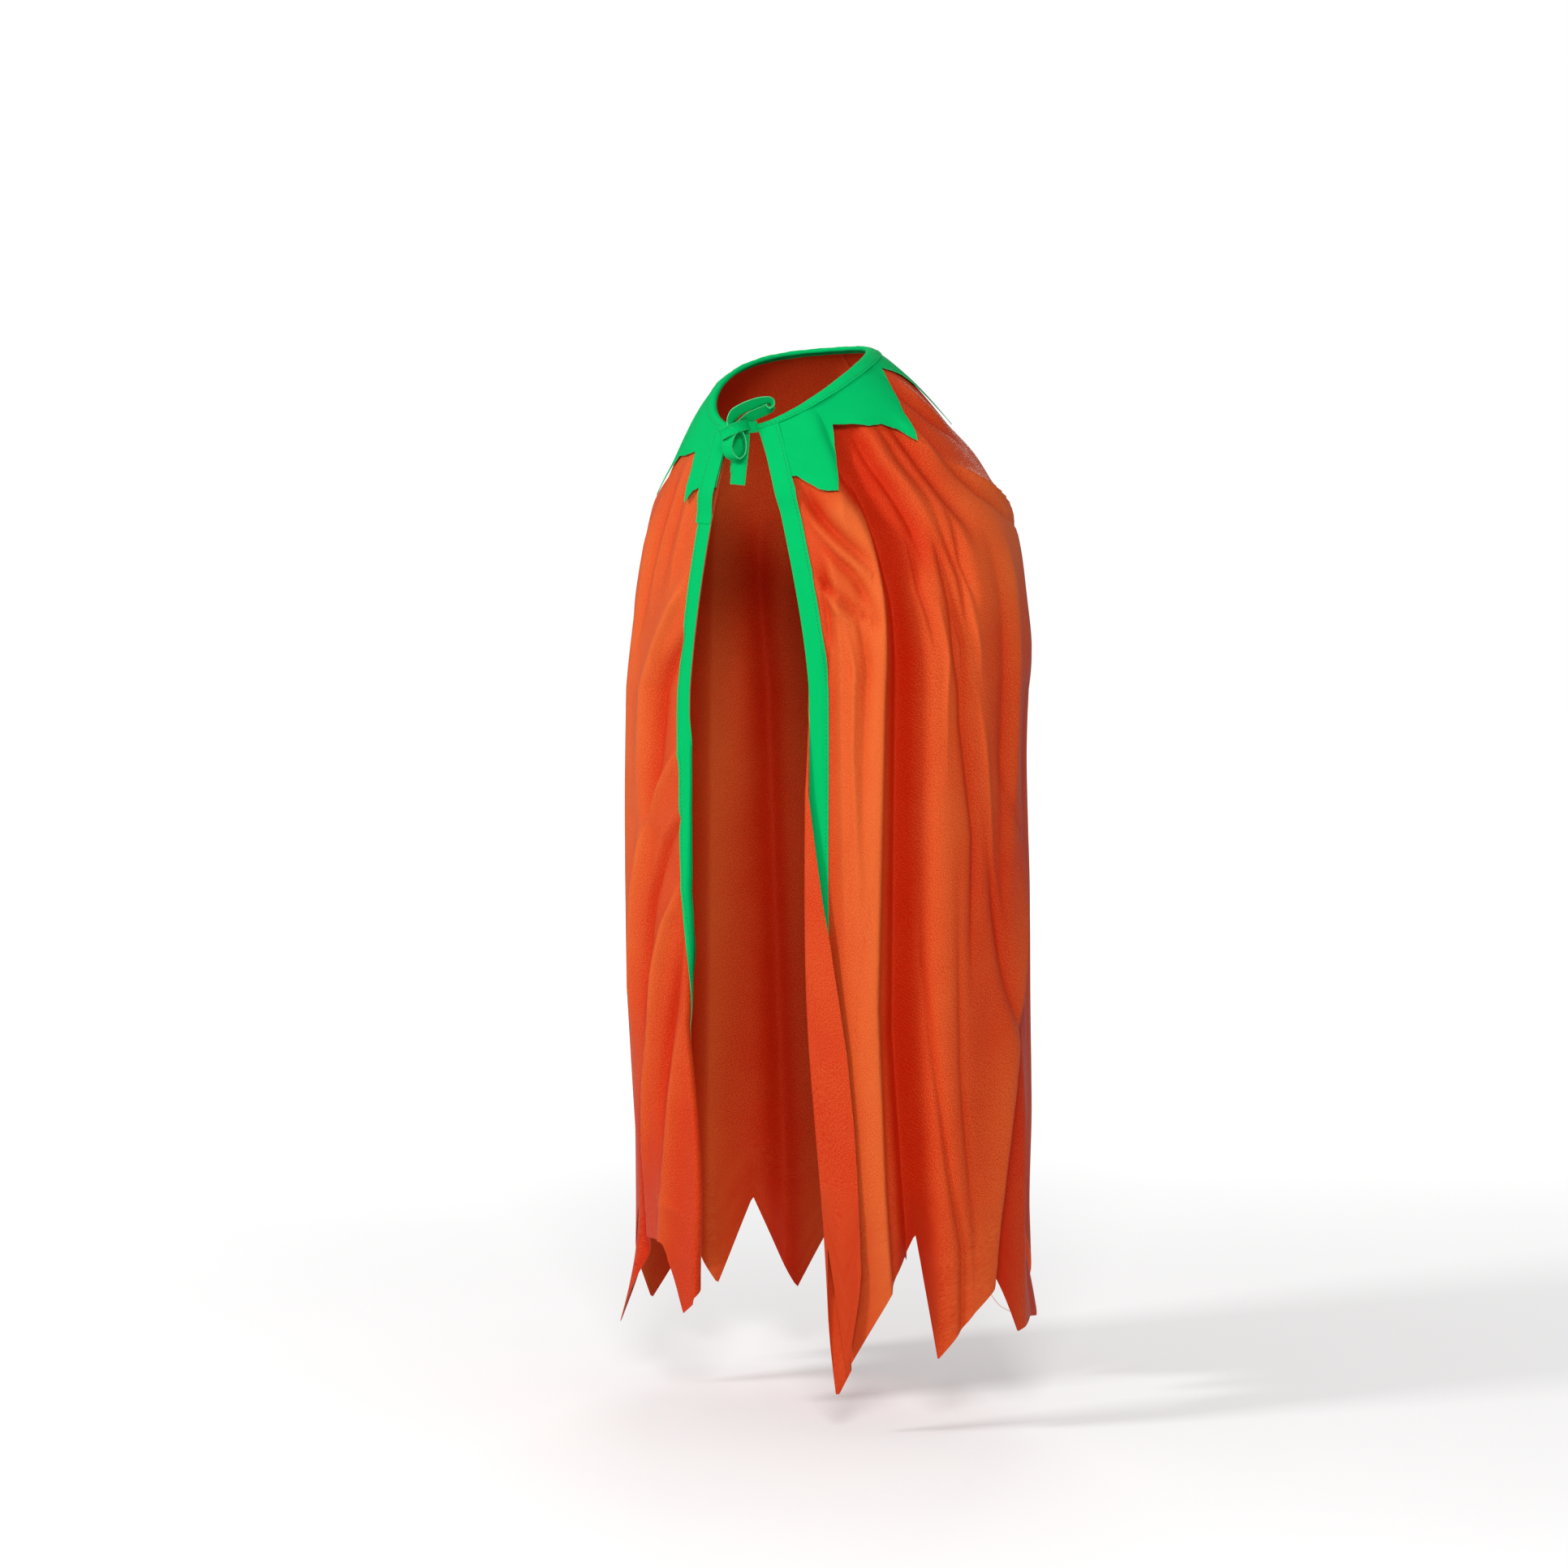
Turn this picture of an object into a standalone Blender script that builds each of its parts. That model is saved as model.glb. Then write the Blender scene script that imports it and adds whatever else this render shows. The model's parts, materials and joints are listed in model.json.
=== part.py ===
"""A child's costume cape: an orange cape with a zigzag hem, a green leaf collar and a tied bow.

The wearer faces -Y, the wearer's left is +X and +Z is up. The origin is the middle of the neck opening.
Each cloth piece is a closed shell on one drape surface. psi is the angle round the wearer from the middle
of the back, positive to the wearer's left. level runs from 0 at the neck to 1 at the bottom of the
shoulders, and below that it is 1 plus the metres further down.
"""

from math import cos, pi, radians, sin

import bpy
import numpy as np

# Neck ring: half width, half depth and where its middle is, front to back
NECK_HALF_WIDTH = 0.062
NECK_HALF_DEPTH = 0.067
NECK_MIDDLE_Y = -0.012
NECK_SIDE_Z = 0.017
NECK_TILT = 0.552
NECK_SAG = 2.9

# Hanging part: half width, half depth, middle, and the height where the shoulders end
BODY_HALF_WIDTH = 0.189
BODY_HALF_DEPTH = 0.125
BODY_MIDDLE_Y = 0.045
SHOULDER_Z = -0.25
SHOULDER_ROUND = 0.75

# Front opening and the lines where the fronts swing, in degrees from the middle of the back
FRONT_EDGE = 160.0
HINGE = 90.0
HINGE_GAP = 0.3
SHOULDER_GAP = 0.001

# Cloth thicknesses and the height of each layer's middle over the orange cloth's middle
CAPE_THICK = 0.0015
COLLAR_THICK = 0.0012
BAND_THICK = 0.0014
LAYER_GAP = 0.0018
COLLAR_LIFT = (CAPE_THICK + COLLAR_THICK) / 2 + LAYER_GAP
BAND_LIFT = COLLAR_LIFT + (COLLAR_THICK + BAND_THICK) / 2 + LAYER_GAP
LOW_BAND_LIFT = (CAPE_THICK + BAND_THICK) / 2 + LAYER_GAP
THREAD_RADIUS = 0.0003
THREAD_LIFT = BAND_THICK / 2 + THREAD_RADIUS + 0.0003

# Trims
BINDING_WIDTH = 0.0105
FACING_WIDTH = 0.017
STITCH_INSET = 0.0025
TIE_WIDTH = 0.0125

# Bow, about the knot's axis, which runs front to back
KNOT_X = 0.001
KNOT_Z = -0.033
KNOT_FRONT = -0.094
KNOT_BACK = -0.086
KNOT_RADIUS = 0.0065
BOW_START = 0.0072

# Folds: how many waves round the body, and how deep they are at the hem
FOLD_WAVES = 11
FOLD_DEPTH = 0.007

# The hem's points and notches: angle from the middle of the back, and height
HEM = [
    (-160, -0.720), (-154, -0.785), (-148, -0.700), (-122, -0.800), (-106, -0.710),
    (-86, -0.795), (-74, -0.720), (-62, -0.790), (-48, -0.710), (-34, -0.790),
    (-20, -0.710), (-5, -0.790), (10, -0.710), (25, -0.790), (40, -0.710),
    (52, -0.780), (64, -0.715), (76, -0.785), (84, -0.720), (97, -0.790),
    (106, -0.725), (124, -0.800), (131, -0.700), (153, -0.820), (160, -0.700),
]

# The leaf collar's outline: angle and level of each point, notch and shoulder of a leaf
LEAVES = [
    (-160, 0.34), (-152, 0.41), (-146, 0.23), (-134, 0.29), (-126, 0.41), (-104, 0.14),
    (-88, 0.22), (-78, 0.35), (-58, 0.11), (-40, 0.20), (-30, 0.34), (-10, 0.11),
    (8, 0.20), (17, 0.34), (36, 0.11), (52, 0.20), (60, 0.32), (78, 0.08),
    (92, 0.16), (103, 0.32), (112, 0.23), (132, 0.16), (144, 0.40), (154, 0.37), (160, 0.31),
]

ORANGE = (0.665, 0.085, 0.012)
GREEN = (0.004, 0.552, 0.150)
THREAD_GREEN = (0.003, 0.330, 0.090)


def clear_scene():
    for obj in list(bpy.data.objects):
        bpy.data.objects.remove(obj)


def make_collection(name):
    collection = bpy.data.collections.new(name)
    bpy.context.scene.collection.children.link(collection)
    return collection


def make_material(name, colour, roughness):
    material = bpy.data.materials.new(name)
    material.use_nodes = True
    shader = material.node_tree.nodes["Principled BSDF"]
    shader.inputs["Base Color"].default_value = (*colour, 1.0)
    shader.inputs["Roughness"].default_value = roughness
    shader.inputs["Metallic"].default_value = 0.0
    return material


def fold(psi, z):
    """How far the folds push the cloth out. They start under the shoulders and leave the hinges straight."""
    depth = FOLD_DEPTH * np.clip((SHOULDER_Z + 0.02 - z) / 0.35, 0.0, 1.0)
    from_hinge = abs(abs(psi) - HINGE)
    return depth * np.clip((from_hinge - 6.0) / 12.0, 0.0, 1.0) * cos(radians(FOLD_WAVES * psi))


def on_drape(psi, level):
    turn = min(max(level, 0.0), 1.0) * pi / 2
    a = radians(psi)
    half_x = NECK_HALF_WIDTH + (BODY_HALF_WIDTH - NECK_HALF_WIDTH) * sin(turn)
    half_y = NECK_HALF_DEPTH + (BODY_HALF_DEPTH - NECK_HALF_DEPTH) * sin(turn)
    middle = NECK_MIDDLE_Y + (BODY_MIDDLE_Y - NECK_MIDDLE_Y) * sin(turn)
    across = NECK_HALF_DEPTH * cos(a)
    neck_z = NECK_SIDE_Z + NECK_TILT * across - NECK_SAG * across**2
    z = neck_z + (SHOULDER_Z - neck_z) * (1.0 - cos(turn)) ** SHOULDER_ROUND
    z -= max(level - 1.0, 0.0)
    out = np.array([sin(a) * half_y, cos(a) * half_x, 0.0])
    out /= np.linalg.norm(out)
    return np.array([half_x * sin(a), middle + half_y * cos(a), z]) + out * fold(psi, z)


def on_cape(psi, level, lift=0.0):
    """The point at this angle and level, raised by lift along the cloth's outward normal."""
    here = on_drape(psi, level)
    if lift == 0.0:
        return here
    level = max(level, 0.02)
    round_way = on_drape(psi + 0.2, level) - on_drape(psi - 0.2, level)
    down_way = on_drape(psi, level + 0.002) - on_drape(psi, level - 0.002)
    normal = np.cross(round_way, down_way)
    return here + normal * (lift / np.linalg.norm(normal))


def level_at(z):
    return 1.0 + SHOULDER_Z - z


def hem_z(psi):
    return float(np.interp(psi, [p for p, _ in HEM], [z for _, z in HEM]))


def angles(first, last, step, extra=()):
    """Angles from first to last at most step apart, with every extra one that lies between."""
    stops = sorted({first, last, *[e for e in extra if first < e < last]})
    found = [first]
    for a, b in zip(stops, stops[1:]):
        count = max(1, round((b - a) / step))
        found += [a + (b - a) * k / count for k in range(1, count + 1)]
    return found


def cloth_object(name, rows, thickness, material, collection, origin=(0, 0, 0), keep=None):
    """A closed shell on a grid of points. keep(row, column) says which squares are cloth."""
    columns = len(rows[0])
    points = [tuple(float(c - o) for c, o in zip(p, origin)) for row in rows for p in row]
    faces = []
    for r in range(len(rows) - 1):
        for c in range(columns - 1):
            if keep is None or keep(r, c):
                k = r * columns + c
                faces.append((k, k + columns, k + columns + 1, k + 1))
    used = sorted({v for face in faces for v in face})
    place = {v: n for n, v in enumerate(used)}
    mesh = bpy.data.meshes.new(name)
    mesh.from_pydata([points[v] for v in used], [], [[place[v] for v in f] for f in faces])
    obj = bpy.data.objects.new(name, mesh)
    obj.location = origin
    mesh.materials.append(material)
    collection.objects.link(obj)
    shell = obj.modifiers.new("cloth thickness", "SOLIDIFY")
    shell.thickness = thickness
    shell.offset = 0.0
    shell.use_even_offset = True
    return obj


def thread_object(name, points, material, collection, origin=(0, 0, 0)):
    curve = bpy.data.curves.new(name, "CURVE")
    curve.dimensions = "3D"
    curve.bevel_depth = THREAD_RADIUS
    curve.bevel_resolution = 2
    curve.use_fill_caps = True
    spline = curve.splines.new("POLY")
    spline.points.add(len(points) - 1)
    for place, p in zip(spline.points, points):
        place.co = (*[float(c - o) for c, o in zip(p, origin)], 1.0)
    obj = bpy.data.objects.new(name, curve)
    obj.location = origin
    curve.materials.append(material)
    collection.objects.link(obj)
    return obj


def hinge_origin(side):
    return (side * BODY_HALF_WIDTH, BODY_MIDDLE_Y, SHOULDER_Z)


def shoulder_levels():
    return [0.0, 0.03, 0.07, 0.12, 0.18, 0.26, 0.36, 0.48, 0.6, 0.72, 0.84, 0.93, 1.0]


def hanging_rows(psis, top, floor_z=-0.66, count=7):
    """Rows of points from the height top down to the hem's points."""
    heights = [top + (floor_z - top) * k / count for k in range(count + 1)]
    rows = [[on_cape(p, level_at(z)) for p in psis] for z in heights]
    for share in (0.5, 1.0):
        rows.append([on_cape(p, level_at(floor_z + (hem_z(p) - floor_z) * share)) for p in psis])
    return rows


def add_back(material, collection):
    side = HINGE - HINGE_GAP
    psis = angles(-FRONT_EDGE, FRONT_EDGE, 6.5, [-side, side, *[p for p, _ in HEM if abs(p) < side]])
    rows = [[on_cape(p, level) for p in psis] for level in shoulder_levels()]
    top_rows = len(rows) - 1
    rows += hanging_rows(psis, SHOULDER_Z)[1:]

    def is_cloth(r, c):
        return r < top_rows or (psis[c] > -side - 0.01 and psis[c + 1] < side + 0.01)

    return cloth_object("cape_back", rows, CAPE_THICK, material, collection, keep=is_cloth)


def add_front(name, side, material, collection):
    ends = sorted((side * (HINGE + HINGE_GAP), side * FRONT_EDGE))
    psis = angles(*ends, 6.0, [p for p, _ in HEM])
    rows = hanging_rows(psis, SHOULDER_Z - SHOULDER_GAP)
    return cloth_object(name, rows, CAPE_THICK, material, collection, hinge_origin(side))


def add_collar(material, collection):
    psis = angles(-FRONT_EDGE, FRONT_EDGE, 5.0, [p for p, _ in LEAVES])
    outline = [float(np.interp(p, [q for q, _ in LEAVES], [lv for _, lv in LEAVES])) for p in psis]
    shares = [k / 7 for k in range(8)]
    rows = [[on_cape(p, end * s, COLLAR_LIFT) for p, end in zip(psis, outline)] for s in shares]
    return cloth_object("leaf_collar", rows, COLLAR_THICK, material, collection)


def level_step(psi, length):
    """The level that lies this far down the cloth from the neck."""
    level = 0.0
    while np.linalg.norm(on_drape(psi, level) - on_drape(psi, 0.0)) < length:
        level += 0.001
    return level


def add_binding(material, collection):
    psis = angles(-FRONT_EDGE, FRONT_EDGE, 6.0)
    ends = [level_step(p, BINDING_WIDTH) for p in psis]
    rows = [[on_cape(p, end * s, BAND_LIFT) for p, end in zip(psis, ends)] for s in (0.0, 0.5, 1.0)]
    return cloth_object("neck_binding", rows, BAND_THICK, material, collection)


def add_binding_thread(material, collection):
    points = []
    for p in angles(-FRONT_EDGE + 3.0, FRONT_EDGE - 3.0, 5.0):
        level = level_step(p, BINDING_WIDTH - STITCH_INSET)
        points.append(on_cape(p, level, BAND_LIFT + THREAD_LIFT))
    return thread_object("binding_stitching", points, material, collection)


def in_from_edge(side, level, width):
    """The angle that lies this far in from the front edge."""
    edge = side * FRONT_EDGE
    span = np.linalg.norm(on_drape(edge, level) - on_drape(edge - side, level))
    return edge - side * width / span


def facing_levels(part):
    if part == "upper":
        first = level_step(FRONT_EDGE, BINDING_WIDTH + 0.001)
        return [first, 0.14, 0.24, 0.36, 0.48, 0.6, 0.72, 0.84, 0.93, 1.0]
    return [level_at(SHOULDER_Z - SHOULDER_GAP - 0.057 * k) for k in range(8)]


def add_facing(name, part, side, material, collection):
    lift, origin = (BAND_LIFT, (0, 0, 0)) if part == "upper" else (LOW_BAND_LIFT, hinge_origin(side))
    rows = []
    for level in facing_levels(part):
        widths = (FACING_WIDTH, FACING_WIDTH / 2, 0.0)
        rows.append([on_cape(in_from_edge(side, level, w), level, lift) for w in widths])
    return cloth_object(name, rows, BAND_THICK, material, collection, origin)


def add_facing_thread(name, part, side, material, collection):
    lift, origin = (BAND_LIFT, (0, 0, 0)) if part == "upper" else (LOW_BAND_LIFT, hinge_origin(side))
    points = []
    for level in facing_levels(part)[1:-1]:
        psi = in_from_edge(side, level, FACING_WIDTH - STITCH_INSET)
        points.append(on_cape(psi, level, lift + THREAD_LIFT))
    return thread_object(name, points, material, collection, origin)


def add_knot(material, collection):
    """A soft round puck whose axis runs front to back."""
    depth = KNOT_BACK - KNOT_FRONT
    bpy.ops.mesh.primitive_cylinder_add(
        vertices=20, radius=KNOT_RADIUS, depth=depth, rotation=(pi / 2, 0, 0),
        location=(KNOT_X, (KNOT_FRONT + KNOT_BACK) / 2, KNOT_Z),
    )
    knot = bpy.context.object
    knot.name = "tie_knot"
    knot.data.name = "tie_knot"
    knot.data.materials.append(material)
    for owner in list(knot.users_collection):
        owner.objects.unlink(knot)
    collection.objects.link(knot)
    soft = knot.modifiers.new("soft edge", "BEVEL")
    soft.width = 0.0022
    soft.segments = 2
    return knot


def ribbon(name, path, way, material, collection):
    """A strip along a path of (distance from the knot's axis, y). way is its angle from +X."""
    a = radians(way)
    axis = (KNOT_X, 0.0, KNOT_Z)
    rows = []
    for out, y in path:
        row = []
        for half in (-TIE_WIDTH / 2, 0.0, TIE_WIDTH / 2):
            x = KNOT_X + out * cos(a) - half * sin(a)
            z = KNOT_Z + out * sin(a) + half * cos(a)
            row.append(np.array([x, y, z]))
        rows.append(row)
    return cloth_object(name, rows, BAND_THICK, material, collection, axis)


def loop_path(front, back, length):
    """Out along the front, round the end and home along the back."""
    radius = (back - front) / 2
    middle = (back + front) / 2
    path = [(BOW_START, middle - radius * 0.55), (BOW_START + 0.006, front)]
    for k in range(9):
        turn = pi * k / 8
        path.append((length - radius + radius * sin(turn), middle - radius * cos(turn)))
    path += [(BOW_START + 0.006, back), (BOW_START, middle + radius * 0.55)]
    return path


def add_bow(material, collection):
    add_knot(material, collection)
    ribbon("upper_bow_loop", loop_path(-0.0975, -0.0875, 0.038), 32.0, material, collection)
    ribbon("lower_bow_loop", loop_path(-0.0975, -0.0875, 0.030), -92.0, material, collection)
    ribbon("front_tie_tail", [(0.004, -0.0845), (0.026, -0.0845), (0.048, -0.0845)], -90.0, material, collection)
    ribbon("rear_tie_tail", [(0.004, -0.0820), (0.022, -0.0820), (0.040, -0.0820)], -90.0, material, collection)


def add_tie(name, side, material, collection):
    """The strip from the end of the neck binding to the back of the knot."""
    start = on_cape(side * FRONT_EDGE, 0.0, BAND_LIFT)
    rows = []
    for share in (0.0, 0.5, 1.0):
        x = side * (abs(start[0]) - 0.0008) * (1 - share) + side * 0.0025 * share
        y = start[1] * (1 - share) - 0.0795 * share
        z = start[2] * (1 - share) + KNOT_Z * share
        rows.append([np.array([x, y, z - half]) for half in (-0.001, 0.004, 0.0095)])
    return cloth_object(name, rows, BAND_THICK, material, collection)


def build():
    clear_scene()
    cape = make_collection("superhero_cape")
    orange = make_material("orange_cloth", ORANGE, 0.55)
    green = make_material("green_cloth", GREEN, 0.75)
    thread = make_material("green_thread", THREAD_GREEN, 0.6)
    add_back(orange, cape)
    add_collar(green, cape)
    add_binding(green, cape)
    add_binding_thread(thread, cape)
    for side, name in ((1, "left"), (-1, "right")):
        add_front(f"{name}_front", side, orange, cape)
        for part in ("upper", "lower"):
            add_facing(f"{name}_facing_{part}", part, side, green, cape)
            add_facing_thread(f"{name}_stitching_{part}", part, side, thread, cape)
        add_tie(f"{name}_tie", side, green, cape)
    add_bow(green, cape)


build()
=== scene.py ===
"""The looks of a child's costume cape: orange satin with a zigzag hem, a green leaf collar and a tied bow.

The wearer faces -Y, the wearer's left is +X and +Z is up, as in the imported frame. psi is the angle round the
wearer from the middle of the back, in degrees, positive to the wearer's left. level runs from 0 at the neck
to 1 at the bottom of the shoulders, and below that it is 1 plus the metres further down.
"""
import json

import bpy
import numpy as np
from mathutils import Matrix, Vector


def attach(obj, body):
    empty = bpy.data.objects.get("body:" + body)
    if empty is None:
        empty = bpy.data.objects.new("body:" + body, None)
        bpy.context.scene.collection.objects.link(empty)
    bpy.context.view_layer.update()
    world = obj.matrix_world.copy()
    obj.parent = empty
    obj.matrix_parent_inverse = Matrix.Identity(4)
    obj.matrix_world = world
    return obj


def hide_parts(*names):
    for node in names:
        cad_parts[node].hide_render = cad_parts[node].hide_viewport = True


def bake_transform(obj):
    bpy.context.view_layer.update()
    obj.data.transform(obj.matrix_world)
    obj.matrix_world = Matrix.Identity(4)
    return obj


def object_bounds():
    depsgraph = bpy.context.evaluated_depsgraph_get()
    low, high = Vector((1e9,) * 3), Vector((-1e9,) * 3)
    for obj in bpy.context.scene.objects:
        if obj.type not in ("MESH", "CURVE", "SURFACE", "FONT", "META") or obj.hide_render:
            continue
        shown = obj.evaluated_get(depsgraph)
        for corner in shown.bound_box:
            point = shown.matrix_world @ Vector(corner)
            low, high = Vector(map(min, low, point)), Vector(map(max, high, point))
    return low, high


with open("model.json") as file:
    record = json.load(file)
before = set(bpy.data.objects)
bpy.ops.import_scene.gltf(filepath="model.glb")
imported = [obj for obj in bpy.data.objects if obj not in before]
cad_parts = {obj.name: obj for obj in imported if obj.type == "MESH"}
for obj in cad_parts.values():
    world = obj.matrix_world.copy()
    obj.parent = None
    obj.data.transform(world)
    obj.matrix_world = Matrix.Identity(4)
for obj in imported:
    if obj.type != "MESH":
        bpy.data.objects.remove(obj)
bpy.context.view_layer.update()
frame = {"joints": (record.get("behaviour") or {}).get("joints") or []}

MM = 0.001
JOINTS = {joint["name"]: joint for joint in frame["joints"]}
SIDES = {"left": 1, "right": -1}

# The drape, the same as the CAD's: the hinge gives the half width, the middle and the shoulders' height
BODY_HALF_WIDTH, BODY_MIDDLE_Y, SHOULDER_Z = JOINTS["left_front_swing"]["pos_m"]
BODY_HALF_DEPTH = 0.125
NECK_HALF_WIDTH, NECK_HALF_DEPTH, NECK_MIDDLE_Y = 0.062, 0.067, -0.012
NECK_SIDE_Z, NECK_TILT, NECK_SAG = 0.017, 0.552, 2.9
SHOULDER_ROUND = 0.75
FRONT_EDGE = 160.0
EDGE_CALM_FROM = 153.0
# Metres of cloth from level 0 to 1, and the level just below the neck edge
SHOULDER_CLOTH = 0.195
NEAR_NECK = 0.02

# Cloth thicknesses
CAPE_THICK = 0.5 * MM
GREEN_THICK = 0.6 * MM
TAPE_THICK = 0.9 * MM

# Heights over the orange cloth's middle
COLLAR_LIFT = 1.1 * MM
FACING_LIFT = 0.8 * MM
FACING_OVER_COLLAR = 2.1 * MM
FACING_OVER_LEAVES = 2.4 * MM

# Widths of the green strips and tapes
FACING_WIDTH = 17.0 * MM
UPPER_LOOP_WIDTH = 11.5 * MM
LOWER_LOOP_WIDTH = 11.0 * MM
TAIL_WIDTH = 12.5 * MM
TIE_WIDTH = 9.5 * MM
WRAP_WIDTH = 8.6 * MM

# How finely the cloth is divided. Columns are in degrees, and in mm in the zone along each cut edge. Rows
# keep one level down to the last level row, and below it they follow the hem.
COLUMN = 0.85
FINE_COLUMN = 0.42
FINE_COLUMNS_FROM = 72
FINE_ZONE = 52 * MM
EDGE_COLUMN = 1.3
ROW = 0.0048
LAST_LEVEL_ROW = -0.66
HEM_ROWS = 33
MEAN_HEM_LEVEL = 1.48
LEAF_COLUMN = 0.7

# The middle back seam: how far the right half reaches past the middle, in degrees, and how far behind it lies
SEAM_OVERLAP = 1.2
SEAM_STEP = 0.8 * MM


def ramp(value, start, end):
    """From 0 at start to 1 at end, and level beyond them."""
    return np.clip((value - start) / (end - start), 0, 1)


def eased(share):
    return share**2 * (3 - 2 * share)


def unit(vectors):
    return vectors / np.linalg.norm(vectors, axis=-1, keepdims=True)


def lengths(points, axis=0):
    """How far along its line, or its row or column of a grid, every point lies."""
    steps = np.linalg.norm(np.diff(points, axis=axis), axis=-1)
    pad = [(0, 0)] * steps.ndim
    pad[axis] = (1, 0)
    return np.cumsum(np.pad(steps, pad), axis=axis)


def read_along(places, along, values):
    """The columns of values, which belong to the distances along, read at places."""
    return np.stack([np.interp(places, along, column) for column in values.T], -1)


def divided(stops, spacing_to):
    """The stops with even steps between each two, of about spacing_to(the second of the two)."""
    places = [stops[0]]
    for a, b in zip(stops, stops[1:]):
        count = max(2, round((b - a) / spacing_to(b)))
        places += [a + (b - a) * k / count for k in range(1, count + 1)]
    return places


def curve_through(points):
    """A function of one number that passes smoothly through a few (place, value) pairs."""
    xs, ys = np.array(points, float).T

    def value(x):
        at = np.clip(x, xs[0], xs[-1])
        k = np.clip(np.searchsorted(xs, at, side="right") - 1, 0, len(xs) - 2)
        width = xs[k + 1] - xs[k]
        share = (at - xs[k]) / width
        slopes = np.gradient(ys, xs)
        a, b = slopes[k] * width, slopes[k + 1] * width
        rise = ys[k + 1] - ys[k]
        return ys[k] + share * (a + share * (3 * rise - 2 * a - b + share * (a + b - 2 * rise)))

    return value


def straight(points, x):
    """The value at x on straight lines through (place, value) pairs."""
    return np.interp(x, *np.array(points, float).T)


# Where each front edge turns over: the angle of the turn and how much cloth is past it, in mm, by level.
# The wearer's left edge lies back over the outside, and the right edge rolls in behind.
TURN_LINE = {side: curve_through(points) for side, points in {
    "left": [(0, 170), (0.5, 165.6), (1.0, 161.3), (1.3, 160), (1.36, 158.4), (1.44, 156.2), (1.58, 153.5)],
    "right": [(0, 170), (0.5, 165.6), (1.0, 161.3), (1.08, 160.6), (1.14, 159.3), (1.2, 158.2), (1.27, 158.4),
              (1.32, 159.7), (1.38, 162), (1.44, 162.8), (1.5, 161.5), (1.58, 160.5)],
}.items()}
TURNED = {
    "left": [(1.0, 0), (1.03, 2.5), (1.07, 7), (1.13, 16), (1.18, 24), (1.21, 30), (1.26, 37), (1.30, 41),
             (1.36, 42), (1.40, 41), (1.46, 39), (1.58, 38)],
    "right": [(1.02, 0), (1.10, 5), (1.14, 10), (1.18, 15), (1.25, 23), (1.32, 30), (1.40, 32), (1.58, 32)],
}
TURN_RADIUS = {"left": 2.6 * MM, "right": 4.0 * MM}
LEAST_TURN_RADIUS = 0.6 * MM
CLOTH_PER_RADIUS = 3.6
TURN_ANGLE = {"left": np.radians(173), "right": np.radians(150)}
TURN_OUTWARDS = {"left": 1, "right": -1}

# The hem's points and notches, as (angle, height), and past each turn as (distance from the cut edge in mm,
# height)
HEM = {
    "left": [(0, -0.752), (10, -0.710), (25, -0.790), (40, -0.708), (50, -0.775), (59, -0.712), (66, -0.765),
             (71, -0.779), (80, -0.776), (92, -0.784), (102, -0.722), (107, -0.745), (113, -0.762),
             (124, -0.802), (131, -0.698), (154, -0.830)],
    "right": [(0, -0.752), (5, -0.790), (20, -0.710), (34, -0.795), (48, -0.712), (60, -0.792), (73, -0.738),
              (87, -0.800), (101, -0.712), (113, -0.716), (123, -0.806), (134, -0.724), (150.5, -0.722),
              (157.5, -0.781), (163, -0.768)],
}
HEM_PAST_TURN = {
    "left": [(0, -0.728), (3, -0.750), (16, -0.812), (30, -0.708), (38, -0.832)],
    "right": [(0, -0.735), (32, -0.768)],
}

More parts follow.
